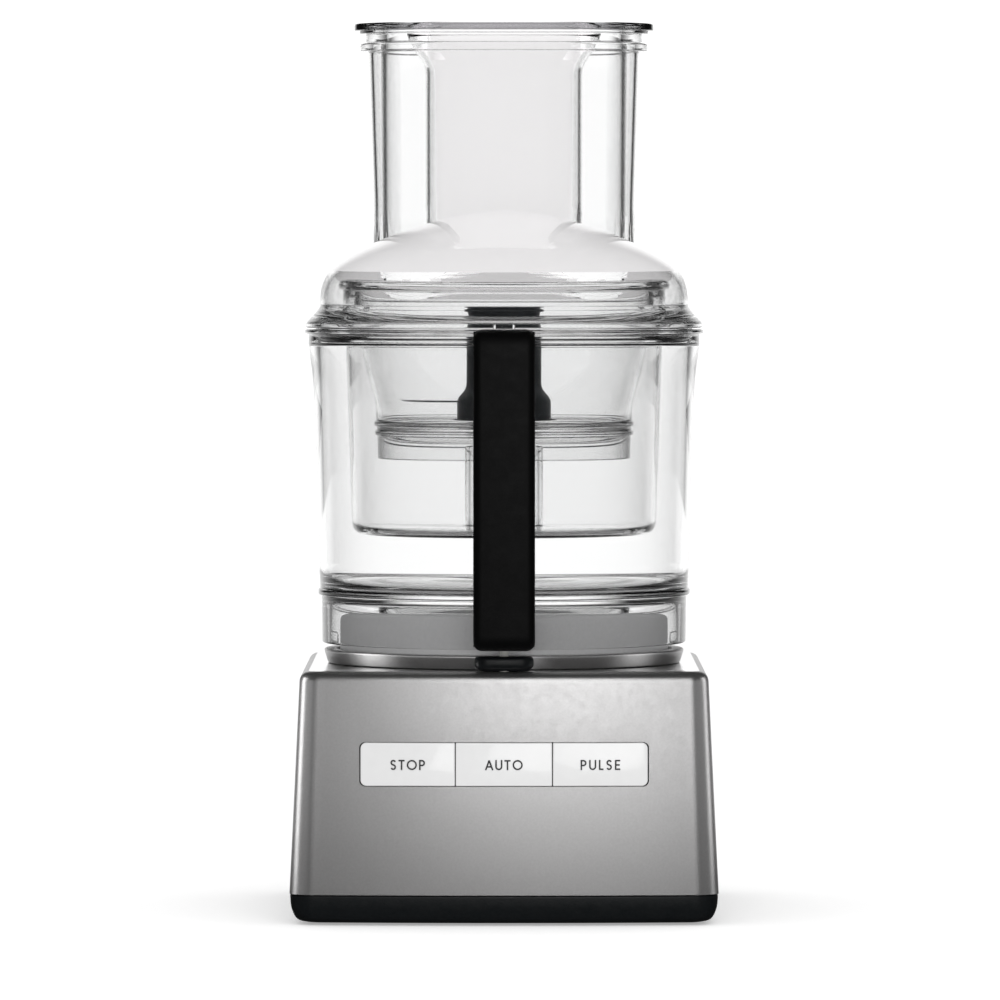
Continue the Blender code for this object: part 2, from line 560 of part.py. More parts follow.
base_body = body("base_body")
rotor_body = body("rotor_body", base_body)
bowl_body = body("bowl_body", base_body)
rod_body = body("rod_body", bowl_body)
midi_body = body("midi_body", bowl_body)
mini_body = body("mini_body", midi_body)
blade_body = body("blade_body", mini_body)
ring_body = body("ring_body", mini_body)
lid_body = body("lid_body", ring_body)
pusher_body = body("pusher_body", lid_body)
small_pusher_body = body("small_pusher_body", pusher_body)

make_housing(base_body)
make_tray(base_body)
make_feet(base_body)
make_tray_screws(base_body)
make_collar_and_drum(base_body)
make_interlock(base_body)
make_gland(base_body)
make_keys(base_body)
make_key_carrier(base_body)
make_key_board(base_body)
make_motor(base_body)
make_rotor(rotor_body)
make_electrics(base_body)
make_main_bowl(bowl_body)
make_handle(bowl_body)
make_safety_rod(rod_body)
make_midi_bowl(midi_body)
make_mini_bowl(mini_body)
make_blade(blade_body)
make_splash_ring(ring_body)
make_lid(lid_body)
make_feed_tube(lid_body)
make_large_pusher(pusher_body)
make_small_pusher(small_pusher_body)
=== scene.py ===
"""Food processor: the finished surfaces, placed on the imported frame. Sizes are in millimetres unless named
otherwise, and each mesh is scaled to metres as it is made."""

import bpy
import numpy as np
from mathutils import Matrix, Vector


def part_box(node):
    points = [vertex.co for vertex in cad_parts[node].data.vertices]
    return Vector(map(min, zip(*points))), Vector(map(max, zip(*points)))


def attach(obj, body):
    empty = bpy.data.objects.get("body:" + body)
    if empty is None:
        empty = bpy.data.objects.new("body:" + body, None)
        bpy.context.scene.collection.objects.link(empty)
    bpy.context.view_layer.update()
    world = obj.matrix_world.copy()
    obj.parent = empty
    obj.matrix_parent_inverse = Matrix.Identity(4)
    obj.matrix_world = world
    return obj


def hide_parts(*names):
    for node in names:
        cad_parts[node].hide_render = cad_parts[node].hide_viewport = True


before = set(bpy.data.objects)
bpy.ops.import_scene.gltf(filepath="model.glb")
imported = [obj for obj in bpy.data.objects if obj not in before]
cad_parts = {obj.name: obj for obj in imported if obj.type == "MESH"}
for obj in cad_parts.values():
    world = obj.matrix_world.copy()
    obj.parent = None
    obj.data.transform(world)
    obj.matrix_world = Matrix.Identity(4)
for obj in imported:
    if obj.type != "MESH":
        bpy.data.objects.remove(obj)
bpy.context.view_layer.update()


# Camera. A long lens a little above the lid's height, square on to the keys. Light may pass many clear walls.
CAMERA_BACK, CAMERA_HEIGHT, AIM_HEIGHT = 4.15, 0.320, 0.205
LONGEST_PATH = 40
lens_data = bpy.data.cameras.new("front_camera")
lens_data.lens = 298.8
lens_data.sensor_width = 36.0
lens_data.clip_end = 50.0
camera = bpy.data.objects.new("front_camera", lens_data)
camera.location = (-0.002, -CAMERA_BACK, CAMERA_HEIGHT)
camera.rotation_euler = (np.pi / 2 - np.arctan2(CAMERA_HEIGHT - AIM_HEIGHT, CAMERA_BACK), 0.0, 0.0)
bpy.context.scene.collection.objects.link(camera)
bpy.context.scene.camera = camera
bpy.context.scene.view_settings.view_transform = "Standard"
bpy.context.scene.cycles.max_bounces = LONGEST_PATH
bpy.context.scene.cycles.transmission_bounces = LONGEST_PATH
bpy.context.scene.cycles.transparent_max_bounces = LONGEST_PATH


# Base housing. A die-cast shell in satin metallic paint, with leaning sides, a front that bows a little and a
# rounded top edge. It is open below and screws down to the tray; a window in its front holds the keys.
MM = 0.001
housing_low, housing_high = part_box("base_housing")
HOUSING_HALF = housing_high[0] / MM
HOUSING_FRONT, HOUSING_REAR = housing_low[1] / MM, housing_high[1] / MM
HOUSING_BOTTOM, HOUSING_TOP = 15.0, housing_high[2] / MM
HOUSING_LEAN, HOUSING_BOW = 5.2, 5.0


def soften(points, reach, closed=True, steps=5):
    """Outline with each corner swapped for a parabola, (1-t)^2 A + 2t(1-t) P + t^2 B, where A and B lie on
    the sides at the given reach from the corner P, or just short of halfway along a shorter side."""
    points = np.asarray(points, float)
    back = np.roll(points, 1, axis=0) - points
    ahead = np.roll(points, -1, axis=0) - points
    back_length = np.linalg.norm(back, axis=1, keepdims=True)
    ahead_length = np.linalg.norm(ahead, axis=1, keepdims=True)
    reach = np.broadcast_to(np.asarray(reach, float).reshape(-1, 1), back_length.shape)
    start = points + back / back_length * np.minimum(reach, back_length * 0.48)
    end = points + ahead / ahead_length * np.minimum(reach, ahead_length * 0.48)
    t = np.linspace(0.0, 1.0, steps + 1)[None, :, None]
    curve = (1 - t) ** 2 * start[:, None] + 2 * t * (1 - t) * points[:, None] + t ** 2 * end[:, None]
    if closed:
        return curve.reshape(-1, points.shape[1])
    return np.concatenate([points[:1], curve[1:-1].reshape(-1, points.shape[1]), points[-1:]])


def skin(name, rows, material, ring=False, crease=35.0):
    """Closed surface over a grid of points in millimetres. Each row is a closed outline and neighbouring rows
    are joined by quads; the last row joins the first in a ring, and otherwise both end rows are filled. The
    faces are turned outwards by the sign of the volume, the sum of a.(b x c) / 6 over their triangles."""
    rows = np.asarray(rows, float) * MM
    count, around = rows.shape[:2]
    row = np.arange(count if ring else count - 1)[:, None]
    column = np.arange(around)[None, :]
    upper, beside = (row + 1) % count, (column + 1) % around
    quads = np.stack([row * around + column, row * around + beside, upper * around + beside,
                      upper * around + column], axis=-1).reshape(-1, 4)
    points = rows.reshape(-1, 3)
    a, b, c, d = (points[quads[:, corner]] for corner in range(4))
    volume = (np.einsum("ij,ij->i", a, np.cross(b, c)) + np.einsum("ij,ij->i", a, np.cross(c, d))).sum()
    faces = quads.tolist()
    if not ring:
        for end, sign in ((0, -1), (count - 1, 1)):
            cap = np.arange(around) + end * around
            first, second = points[cap], np.roll(points[cap], -1, axis=0)
            centre = points[cap].mean(axis=0)
            volume += sign * np.einsum("j,ij->i", centre, np.cross(first, second)).sum()
            faces.append(cap[::sign].tolist())
    mesh = bpy.data.meshes.new(name)
    mesh.from_pydata(points, [], faces if volume > 0 else [face[::-1] for face in faces])
    mesh.shade_smooth()
    mesh.set_sharp_from_angle(angle=np.radians(crease))
    mesh.materials.append(material)
    piece = bpy.data.objects.new(name, mesh)
    bpy.context.scene.collection.objects.link(piece)
    return piece


def combine(piece, operation, tools, crease=35.0):
    """Cut the tools out of a piece, or fuse them to it, keep the result as its mesh and remove the tools."""
    for tool in tools:
        step = piece.modifiers.new(tool.name, "BOOLEAN")
        step.operation = operation
        step.object = tool
        step.solver = "EXACT"
    result = bpy.data.meshes.new_from_object(piece.evaluated_get(bpy.context.evaluated_depsgraph_get()))
    piece.modifiers.clear()
    piece.data = result
    result.shade_smooth()
    result.set_sharp_from_angle(angle=np.radians(crease))
    for tool in tools:
        bpy.data.objects.remove(tool, do_unlink=True)


def base_plan(shrink):
    """Plan of the base for each inward shrink, as x and y arrays: the front follows
    y = front + bow (x / half)^2, and quarter circles turn the four corners, wider at the rear."""
    shrink = np.asarray(shrink, float)[:, None]
    half, front, rear = HOUSING_HALF - shrink, HOUSING_FRONT + shrink, HOUSING_REAR - shrink
    near, far = np.maximum(12.0 - 0.5 * shrink, 4.0), np.maximum(26.0 - shrink, 8.0)
    reach = half - near
    bow_x = reach * np.linspace(-1.0, 1.0, 41)
    side = front + HOUSING_BOW * (reach / half) ** 2 + near
    turn = np.linspace(0.0, np.pi / 2, 13)[None, :]
    x = [bow_x, reach + near * np.sin(turn[:, 1:]), half - far + far * np.cos(turn),
         far - half - far * np.sin(turn), -reach - near * np.cos(turn[:, :-1])]
    y = [front + HOUSING_BOW * (bow_x / half) ** 2, side - near * np.cos(turn[:, 1:]),
         rear - far + far * np.sin(turn), rear - far + far * np.cos(turn), side - near * np.sin(turn[:, :-1])]
    return np.concatenate(x, axis=1), np.concatenate(y, axis=1)


def base_rows(profile):
    """Rows for skin from a profile of (shrink, height) points."""
    profile = np.asarray(profile, float)
    x, y = base_plan(profile[:, 0])
    return np.stack([x, y, np.broadcast_to(profile[:, 1:], x.shape)], axis=-1)


def feed(tree, made, sockets):
    """Fill a node's inputs, named or numbered: another node's output is linked and any other value is set."""
    for socket, value in sockets.items():
        if isinstance(value, bpy.types.NodeSocket):
            tree.links.new(value, made.inputs[socket])
        else:
            made.inputs[socket].default_value = value
    return made


def node(tree, kind, operation=None, *values, **sockets):
    """Shader node with its operation, its numbered inputs and its named ones, with _ for the spaces."""
    made = tree.nodes.new(kind)
    if operation:
        made.operation = operation
    named = {name.replace("_", " "): value for name, value in sockets.items()}
    return feed(tree, made, {**dict(enumerate(values)), **named})


def calc(tree, operation, first, second=0.0):
    """Output of a Math node on one or two values."""
    return node(tree, "ShaderNodeMath", operation, first, second).outputs[0]


def group(name, inputs, output, build):
    """Shader node group with the given inputs and one output, which build(tree, incoming) returns."""
    tree = bpy.data.node_groups.new(name, "ShaderNodeTree")
    for socket, value in inputs.items():
        made = tree.interface.new_socket(socket, in_out="INPUT", socket_type="NodeSocketFloat")
        made.default_value = value
    tree.interface.new_socket(output, in_out="OUTPUT", socket_type="NodeSocketFloat")
    result = build(tree, tree.nodes.new("NodeGroupInput"))
    tree.links.new(result, tree.nodes.new("NodeGroupOutput").inputs[output])
    return tree


def build_grain(tree, incoming):
    """Fractal noise on object coordinates, carried from its usual range to Low..High."""
    place = node(tree, "ShaderNodeTexCoord").outputs["Object"]
    noise = node(tree, "ShaderNodeTexNoise", Vector=place, Scale=incoming.outputs["Scale"], Detail=4.0)
    span = node(tree, "ShaderNodeMapRange", Value=noise.outputs["Fac"], From_Min=0.3, From_Max=0.7,
                To_Min=incoming.outputs["Low"], To_Max=incoming.outputs["High"])
    return span.outputs["Result"]


GRAIN = group("grain", {"Scale": 400.0, "Low": 0.0, "High": 1.0}, "Value", build_grain)


def build_settled_dust(tree, incoming):
    """Mask of settled dust: how far the face looks up, to the fourth power, times patchy noise and Amount."""
    place = node(tree, "ShaderNodeTexCoord").outputs["Object"]
    noise = node(tree, "ShaderNodeTexNoise", Vector=place, Scale=60.0, Detail=6.0)
    facing = node(tree, "ShaderNodeNewGeometry").outputs["Normal"]
    upward = calc(tree, "MAXIMUM", node(tree, "ShaderNodeSeparateXYZ", None, facing).outputs["Z"], 0.0)
    patchy = calc(tree, "MULTIPLY", calc(tree, "POWER", upward, 4.0), noise.outputs["Fac"])
    return calc(tree, "MULTIPLY", patchy, incoming.outputs["Amount"])


DUST = group("settled_dust", {"Amount": 0.1}, "Mask", build_settled_dust)
DUST_COLOUR = (0.42, 0.41, 0.39, 1.0)
GRAIN_DEPTH, RIPPLE_DEPTH = 0.0004, 0.0005


def grouped(tree, kind, **sockets):
    """Output of a node group that has one."""
    made = tree.nodes.new("ShaderNodeGroup")
    made.node_tree = kind
    return feed(tree, made, sockets).outputs[0]


def blend(tree, factor, first, second):
    """Colour between two colours."""
    made = tree.nodes.new("ShaderNodeMix")
    made.data_type = "RGBA"
    return feed(tree, made, {"Factor": factor, "A": first, "B": second}).outputs["Result"]


def relief(tree, scale, strength, depth):
    """Surface normal with grain pressed into it."""
    return node(tree, "ShaderNodeBump", Strength=strength, Distance=depth,
                Height=grouped(tree, GRAIN, Scale=scale)).outputs["Normal"]


def finish(name, colour, second, roughness, metallic=0.0, scale=400.0, bump=0.02, dust=0.0, coat=0.0,
           **plain):
    """Opaque finish: two near colours mixed by grain, roughness between two values by grain, a fine grain
    bump and a veil of settled dust. Other values go straight to the shader's own sockets."""
    made = bpy.data.materials.new(name)
    made.use_nodes = True
    tree = made.node_tree
    tone = blend(tree, grouped(tree, GRAIN, Scale=scale * 0.35), (*colour, 1.0), (*second, 1.0))
    feed(tree, tree.nodes["Principled BSDF"], {
        "Metallic": metallic, "Coat Weight": coat,
        "Base Color": blend(tree, grouped(tree, DUST, Amount=dust), tone, DUST_COLOUR),
        "Roughness": grouped(tree, GRAIN, Scale=scale * 0.12, Low=roughness[0], High=roughness[1]),
        "Normal": relief(tree, scale, bump, GRAIN_DEPTH),
        **{socket.replace("_", " "): value for socket, value in plain.items()}})
    return made


def round_tool(name, radius, centre, span, axis=2, count=32):
    """Plain cylinder along an axis for cutting: centre gives the other two coordinates in order."""
    turn = np.arange(count) * 2 * np.pi / count
    rows = np.empty((2, count, 3))
    others = [index for index in range(3) if index != axis]
    rows[..., others[0]] = centre[0] + radius * np.cos(turn)
    rows[..., others[1]] = centre[1] + radius * np.sin(turn)
    rows[..., axis] = np.asarray(span)[:, None]
    return skin(name, rows, METALLIC_PAINT)


def rounded_oblong(left, right, bottom, top, corners, steps=8):
    """Outline of (u, v) points anticlockwise from the upper right: an oblong with a quarter circle of its own
    radius at each corner."""
    centres = ((right, top, 0, -1, -1), (left, top, 1, 1, -1), (left, bottom, 2, 1, 1),
               (right, bottom, 3, -1, 1))
    turn = np.linspace(0.0, np.pi / 2, steps + 1)
    points = [np.stack([u + su * radius + radius * np.cos(turn + quarter * np.pi / 2),
                        v + sv * radius + radius * np.sin(turn + quarter * np.pi / 2)], axis=1)
              for (u, v, quarter, su, sv), radius in zip(centres, corners)]
    return np.concatenate(points)


METALLIC_PAINT = finish("satin_metallic_paint", (0.485, 0.48, 0.48), (0.525, 0.52, 0.52), (0.31, 0.35), 0.95,
                        scale=2600.0, bump=0.04, dust=0.01)
SHELL, TOP_REACH = 3.0, 62.0
housing_profile = soften([(0.0, HOUSING_BOTTOM), (HOUSING_LEAN - 0.1, HOUSING_TOP), (TOP_REACH, HOUSING_TOP),
                          (TOP_REACH, HOUSING_TOP - SHELL), (HOUSING_LEAN + SHELL, HOUSING_TOP - SHELL),
                          (SHELL, HOUSING_BOTTOM)], (0.3, 5.6, 0.1, 0.1, 3.0, 0.3), steps=8)
housing = skin("housing_shell", base_rows(housing_profile), METALLIC_PAINT, ring=True)
KEY_BOTTOM, KEY_TOP, KEY_END, KEY_CORNER = 68.4, 89.6, 70.4, 2.9
WINDOW_GAP = 0.25
window_outline = rounded_oblong(-KEY_END - WINDOW_GAP, KEY_END + WINDOW_GAP, KEY_BOTTOM - WINDOW_GAP,
                                KEY_TOP + WINDOW_GAP, (KEY_CORNER,) * 4)
window_rows = [[(x, y, z) for x, z in window_outline] for y in (HOUSING_FRONT - 8, HOUSING_FRONT + 13)]
combine(housing, "DIFFERENCE", [
    skin("window_tool", window_rows, METALLIC_PAINT),
    round_tool("plunger_tool", 2.8, (0.0, -100.0), (110, 130)),
    round_tool("gland_tool", 7.1, (60.0, 30.0), (118, 140), axis=1)])
TOP_LACQUER = finish("lacquered_top", (0.56, 0.56, 0.56), (0.60, 0.60, 0.60), (0.10, 0.13), 0.95,
                     scale=2600.0, bump=0.01, dust=0.01)
housing.data.materials.append(TOP_LACQUER)
for face in housing.data.polygons:
    face.material_index = int(face.normal.z > 0.985 and face.center.z > (HOUSING_TOP - 1) * MM)
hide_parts("base_housing")
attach(housing, "base")


# Bottom tray. A black moulded pan whose lower edge curves in, with slots for cooling air in its floor. Four
# screws hold it to the housing from below.
TRAY_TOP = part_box("bottom_tray")[1][2] / MM
TRAY_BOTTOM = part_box("bottom_tray")[0][2] / MM
BLACK_MOULDING = finish("black_moulding", (0.0045, 0.0065, 0.0080), (0.0065, 0.0085, 0.0100), (0.34, 0.46),
                        scale=1500.0, bump=0.12, dust=0.02)
tray_profile = soften([(8.5, TRAY_BOTTOM - 0.4), (3.4, 2.2), (0.7, 8.0), (0.3, TRAY_TOP), (2.9, TRAY_TOP),
                       (4.2, 7.5), (9.5, 4.5)], (0.1, 3.0, 4.0, 0.6, 0.3, 2.0, 0.1), closed=False)
tray = skin("bottom_pan", base_rows(tray_profile), BLACK_MOULDING)
SCREWS = [(x, y) for y in (-84.0, 100.0) for x in (-84.0, 84.0)]
FEET = [(x, y) for y in (-66.0, 86.0) for x in (-66.0, 66.0)]
slot_tools = []
for number in range(7):
    outline = rounded_oblong(-31.5 + 9 * number, -27.5 + 9 * number, 20.0, 48.0, (1.99,) * 4)
    slot_rows = [[(x, y, z) for x, y in outline] for z in (0, 6)]
    slot_tools.append(skin("slot_tool_%d" % number, slot_rows, BLACK_MOULDING))
slot_tools += [round_tool("screw_tool_%d" % number, 3.9, place, (0, 7.2))
               for number, place in enumerate(SCREWS)]
slot_tools += [round_tool("foot_tool_%d" % number, 3.8, place, (0, 6)) for number, place in enumerate(FEET)]
combine(tray, "DIFFERENCE", slot_tools)
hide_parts("bottom_tray")
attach(tray, "base")


# Feet. Four soft rubber discs, each held by a plug pushed through the tray's floor.
RUBBER = finish("foot_rubber", (0.020, 0.020, 0.020), (0.032, 0.031, 0.030), (0.75, 0.92), scale=900.0,
                bump=0.2)


def turned(name, outline, material, around=144, ring=True, centre=(0.0, 0.0), tilt=None, crease=35.0):
    """Surface of revolution about an upright axis: x = r cos a, y = r sin a and z, for an outline of (r, z).
    A tilt adds tilt(z) * y to the height."""
    outline = np.asarray(outline, float)
    turn = np.arange(around) * 2 * np.pi / around
    radius, height = outline[:, :1], outline[:, 1:]
    rows = np.stack(np.broadcast_arrays(centre[0] + radius * np.cos(turn), centre[1] + radius * np.sin(turn),
                                        height), axis=-1).copy()
    if tilt is not None:
        rows[..., 2] += tilt(height) * rows[..., 1]
    return skin(name, rows, material, ring, crease)


for number, place in enumerate(FEET, 1):
    outline = soften([(0.5, 0.0), (9.0, 0.0), (9.0, 1.2), (3.4, 1.2), (3.4, 5.6), (0.5, 5.6)],
                     (0, 0.5, 0.2, 0.1, 0.6, 0), closed=False)
    foot = turned("rubber_foot_%d" % number, outline, RUBBER, 64, False, place)
    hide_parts("foot_%d" % number)
    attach(foot, "base")


# Bowl seat. A low metallic ring, painted with the housing, and inside it the drum that centres the bowl's
# skirt, in a like grey paint that is much less metallic. The shaft comes up through the drum's top.
DRUM_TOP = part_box("drive_drum")[1][2] / MM
DRUM_PAINT = finish("drum_metallic_paint", (0.48, 0.48, 0.485), (0.52, 0.52, 0.525), (0.44, 0.52), 0.35,
                    scale=2200.0, bump=0.05)
collar = turned("bowl_seat_ring", soften([(84.0, 124.3), (88.0, 124.3), (90.2, 131.2), (84.0, 131.2)],
                                         (0.2, 0.4, 1.6, 0.4)), METALLIC_PAINT, 192)
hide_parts("seat_collar")
drum_outline = soften([(82.0, 124.3), (82.0, DRUM_TOP), (12.0, DRUM_TOP), (12.0, DRUM_TOP - 3),
                       (78.8, DRUM_TOP - 3), (78.8, 124.3)], (0.3, 3.2, 0.6, 0.3, 1.5, 0.3))
drum = turned("centring_drum", drum_outline, DRUM_PAINT, 192)
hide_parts("drive_drum")
for piece in (collar, drum):
    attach(piece, "base")


# Keys. Three glossy white mouldings side by side in the window, with a hairline gap between them and thin
# dark captions that say what each does. A stem behind each one reaches its switch.
KEY_WHITE = finish("key_white", (0.86, 0.86, 0.86), (0.88, 0.88, 0.88), (0.16, 0.22), scale=500.0, bump=0.01,
                   coat=0.4)
CAPTION_INK = finish("caption_ink", (0.028, 0.028, 0.030), (0.035, 0.035, 0.037), (0.5, 0.6), scale=900.0)
CAPTION_HEIGHT, CAPTION_BASE = 4.9, 76.3
GAP_HALF = 0.22


def front_face(x, z):
    """The housing's front at a place on it: the lean grows evenly with height and the bow with x squared."""
    lean = HOUSING_LEAN * (z - HOUSING_BOTTOM) / (HOUSING_TOP - HOUSING_BOTTOM)
    return HOUSING_FRONT + lean + HOUSING_BOW * (x / (HOUSING_HALF - lean)) ** 2


def bend(centre, radius, start, end, steps=20):
    """Points along an arc between two angles in degrees."""
    turn = np.radians(np.linspace(start, end, steps + 1))
    return [(centre[0] + radius * np.cos(a), centre[1] + radius * np.sin(a)) for a in turn]


STROKE = 0.145
UPPER, LOWER = 1.0 - STROKE / 2, STROKE / 2
LETTERS = {
    "A": (0.80, [[(0.05, 0.0), (0.40, UPPER + 0.03)], [(0.75, 0.0), (0.40, UPPER + 0.03)],
                 [(0.17, 0.32), (0.63, 0.32)]]),
    "E": (0.52, [[(LOWER, 0.0), (LOWER, 1.0)], [(LOWER, UPPER), (0.52, UPPER)], [(LOWER, 0.5), (0.48, 0.5)],
                 [(LOWER, LOWER), (0.52, LOWER)]]),
    "L": (0.45, [[(LOWER, 1.0), (LOWER, 0.0)], [(LOWER, LOWER), (0.45, LOWER)]]),
    "O": (1.00, [bend((0.5, 0.5), 0.5 - STROKE / 2, 0, 360, 40)]),
    "P": (0.58, [[(LOWER, 0.0), (LOWER, 1.0)],
                 [(LOWER, UPPER)] + bend((0.275, 0.69), UPPER - 0.69, 90, -90) + [(LOWER, 1.38 - UPPER)]]),
    "S": (0.60, [bend((0.30, 0.72), UPPER - 0.72, 25, 270) + bend((0.29, 0.28), 0.28 - LOWER, 80, -155)]),
    "T": (0.60, [[(0.0, UPPER), (0.60, UPPER)], [(0.30, UPPER), (0.30, 0.0)]]),
    "U": (0.70, [[(LOWER, 1.0)] + bend((0.35, 0.35), 0.35 - LOWER, 180, 360) + [(0.70 - LOWER, 1.0)]]),
}


def stroke_rows(path):
    """Square-section bar along a path of (u, v): half a stroke to each side of it, and a little depth."""
    path = np.asarray(path, float)
    along = np.gradient(path, axis=0)
    aside = np.stack([-along[:, 1], along[:, 0]], axis=1) / np.linalg.norm(along, axis=1, keepdims=True)
    left, right = path + aside * STROKE / 2, path - aside * STROKE / 2
    depth = np.full((len(path), 1), 0.014)
    return np.stack([np.hstack([left, -depth]), np.hstack([right, -depth]), np.hstack([right, depth]),
                     np.hstack([left, depth])], axis=1)


def caption(name, words, width, centre_x, material):
    """Raised lettering of even strokes laid on the bowed front: u and v become x and height, and the depth is
    taken from the front's curve. The gaps between letters make up the given width."""
    spare = width / CAPTION_HEIGHT - sum(LETTERS[letter][0] for letter in words)
    gap = spare / (len(words) - 1)
    start = 0.0
    bars = []
    for letter in words:
        for path in LETTERS[letter][1]:
            rows = stroke_rows(path)
            x = centre_x - width / 2 + (start + rows[..., 0]) * CAPTION_HEIGHT
            z = CAPTION_BASE + rows[..., 1] * CAPTION_HEIGHT
            y = front_face(x, z) - 0.25 + rows[..., 2] * CAPTION_HEIGHT
            bars.append(skin(name, np.stack([x, y, z], axis=-1), material))
        start += LETTERS[letter][0] + gap
    with bpy.context.temp_override(active_object=bars[0], selected_editable_objects=bars):
        bpy.ops.object.join()
    return bars[0]


def key_rows(left, right, corners):
    """Rows from the key's face back to its stem: small steps round the face's edge, then the stem."""
    middle, height = (left + right) / 2, (KEY_BOTTOM + KEY_TOP) / 2
    rows = []
    for inset, depth in ((0.7, -0.25), (0.34, -0.16), (0.1, 0.06), (0.0, 0.36), (0.0, 3.2)):
        outline = rounded_oblong(left + inset, right - inset, KEY_BOTTOM + inset, KEY_TOP - inset,
                                 np.maximum(np.asarray(corners) - inset, 0.12))
        rows.append([(x, front_face(x, z) + depth, z) for x, z in outline])
    stem = rounded_oblong(middle - 15, middle + 15, height - 6, height + 6, (2.0,) * 4)
    rows.append([(x, front_face(x, z) + 3.2, z) for x, z in stem])
    rows.append([(x, -100.2, z) for x, z in stem])
    return rows


DIVIDERS = (-23.8, 23.6)
KEYS_LEFT, KEYS_RIGHT, SQUARE = 0.3 - KEY_END, KEY_END - 0.3, 0.5
key_plan = (
    ("stop", "STOP", 16.9, KEYS_LEFT, DIVIDERS[0] - GAP_HALF, (SQUARE, KEY_CORNER, KEY_CORNER, SQUARE)),
    ("auto", "AUTO", 18.3, DIVIDERS[0] + GAP_HALF, DIVIDERS[1] - GAP_HALF, (SQUARE,) * 4),
    ("pulse", "PULSE", 19.3, DIVIDERS[1] + GAP_HALF, KEYS_RIGHT, (KEY_CORNER, SQUARE, SQUARE, KEY_CORNER)))
for word, words, width, left, right, corners in key_plan:
    key = skin(word + "_key_cap", key_rows(left, right, corners), KEY_WHITE)
    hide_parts("button_" + word)
    label = caption(word + "_caption", words, width, (left + right) / 2, CAPTION_INK)
    for piece in (key, label):
        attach(piece, word + "_key")


# Interlock. A small black block on the housing's front edge guides the plunger that the handle's rod pushes
# down to close the safety switch.
block_rows = []
block_profile = soften([(2.6, 124.35), (0.0, 126.2), (0.0, 131.4), (4.2, 131.4)], (0, 1.6, 3.6, 0),
                       closed=False)
for inset, z in block_profile:
    outline = rounded_oblong(-14.5 + inset, 14.5 - inset, -106.0 + inset, -92.4 - inset, (6.6 - inset,) * 4)
    block_rows.append([(x, y, z) for x, y in outline])
block = skin("interlock_guide", block_rows, BLACK_MOULDING)
combine(block, "DIFFERENCE", [round_tool("bore_tool", 2.7, (0.0, -100.0), (120, 135))])
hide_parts("interlock_block")
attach(block, "base")


# Mains gland. A black bush pressed into the rear wall; the cord would leave through its hole.
turn = np.arange(48) * 2 * np.pi / 48
gland_outline = soften([(3.6, 120.0), (6.6, 120.0), (6.6, 130.3), (9.0, 130.3), (9.0, 132.0), (3.6, 132.0)],
                       (0.2, 0.3, 0.2, 0.4, 1.0, 0.8))
gland_rows = [[(60 + radius * np.cos(a), y, 30 + radius * np.sin(a)) for a in turn]
              for radius, y in gland_outline]
gland = skin("cord_bush", gland_rows, BLACK_MOULDING, ring=True)
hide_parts("mains_gland")
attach(gland, "base")


# Main bowl. Clear moulded copolyester, 3 to 4 mm thick, with a skirt that stands over the drum, a hollow
# column for the shaft, a wall that flares to a beaded rim, and a ledge inside for the middle bowl.
PLASTIC_IOR, RIPPLE = 1.5, 0.002
WALL_PASSES = (0.96, 0.96, 0.96, 1.0)


def clear_finish(name, colour, haze):
    """Clear plastic: it bends and passes light, with haze as its lowest and highest roughness and a faint
    moulding ripple. Light that only falls on other pieces goes straight through it."""
    made = bpy.data.materials.new(name)
    made.use_nodes = True
    tree = made.node_tree
    shader = feed(tree, tree.nodes["Principled BSDF"], {
        "Base Color": (*colour, 1.0), "Transmission Weight": 1.0, "IOR": PLASTIC_IOR,
        "Roughness": grouped(tree, GRAIN, Scale=25.0, Low=haze[0], High=haze[1]),
        "Normal": relief(tree, 18.0, RIPPLE, RIPPLE_DEPTH)})
    path = node(tree, "ShaderNodeLightPath")
    either = calc(tree, "MAXIMUM", path.outputs["Is Shadow Ray"], path.outputs["Is Diffuse Ray"])
    through = node(tree, "ShaderNodeBsdfTransparent", Color=WALL_PASSES)
    passing = node(tree, "ShaderNodeMixShader", None, either, shader.outputs[0], through.outputs[0])
    tree.links.new(passing.outputs[0], tree.nodes["Material Output"].inputs["Surface"])
    return made


CLEAR = clear_finish("clear_copolyester", (0.996, 0.997, 0.997), (0.0, 0.008))
RIM_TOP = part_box("main_bowl")[1][2] / MM
bowl_outline = soften([
    (8.0, 152.4), (10.5, 152.4), (10.5, 156.0), (60.0, 156.0), (60.0, 152.0), (62.5, 152.0), (62.5, 156.0),
    (86.6, 156.0), (87.0, 134.0), (91.0, 134.0), (91.3, 157.6), (93.0, 158.2),
    (93.0, 160.6), (92.0, 161.4), (92.3, 168.0), (94.5, 240.0), (95.2, 262.0),
    (97.9, 284.0), (97.6, 288.0), (99.6, 288.4), (99.6, RIM_TOP), (95.2, RIM_TOP), (95.0, 283.4),
    (92.2, 283.4), (91.4, 262.0), (90.8, 240.0), (89.4, 168.0), (87.6, 163.0), (83.0, 160.4),
    (14.0, 160.4), (10.6, 164.0), (10.2, 235.4), (8.0, 235.4)],
    (0.3, 0.6, 1.0, 1.0, 0.6, 0.6, 1.0, 2.0, 1.0, 1.2, 0.4, 0.8, 0.8, 0.4, 3.0, 12.0, 10.0, 1.4, 1.0, 0.7,
     0.9, 1.0, 0.7, 0.8, 10.0, 12.0, 4.0, 4.0, 4.0, 2.5, 3.0, 0.8, 0.4))
bowl = turned("large_clear_bowl", bowl_outline, CLEAR, 192, crease=50)
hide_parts("main_bowl")
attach(bowl, "bowl")


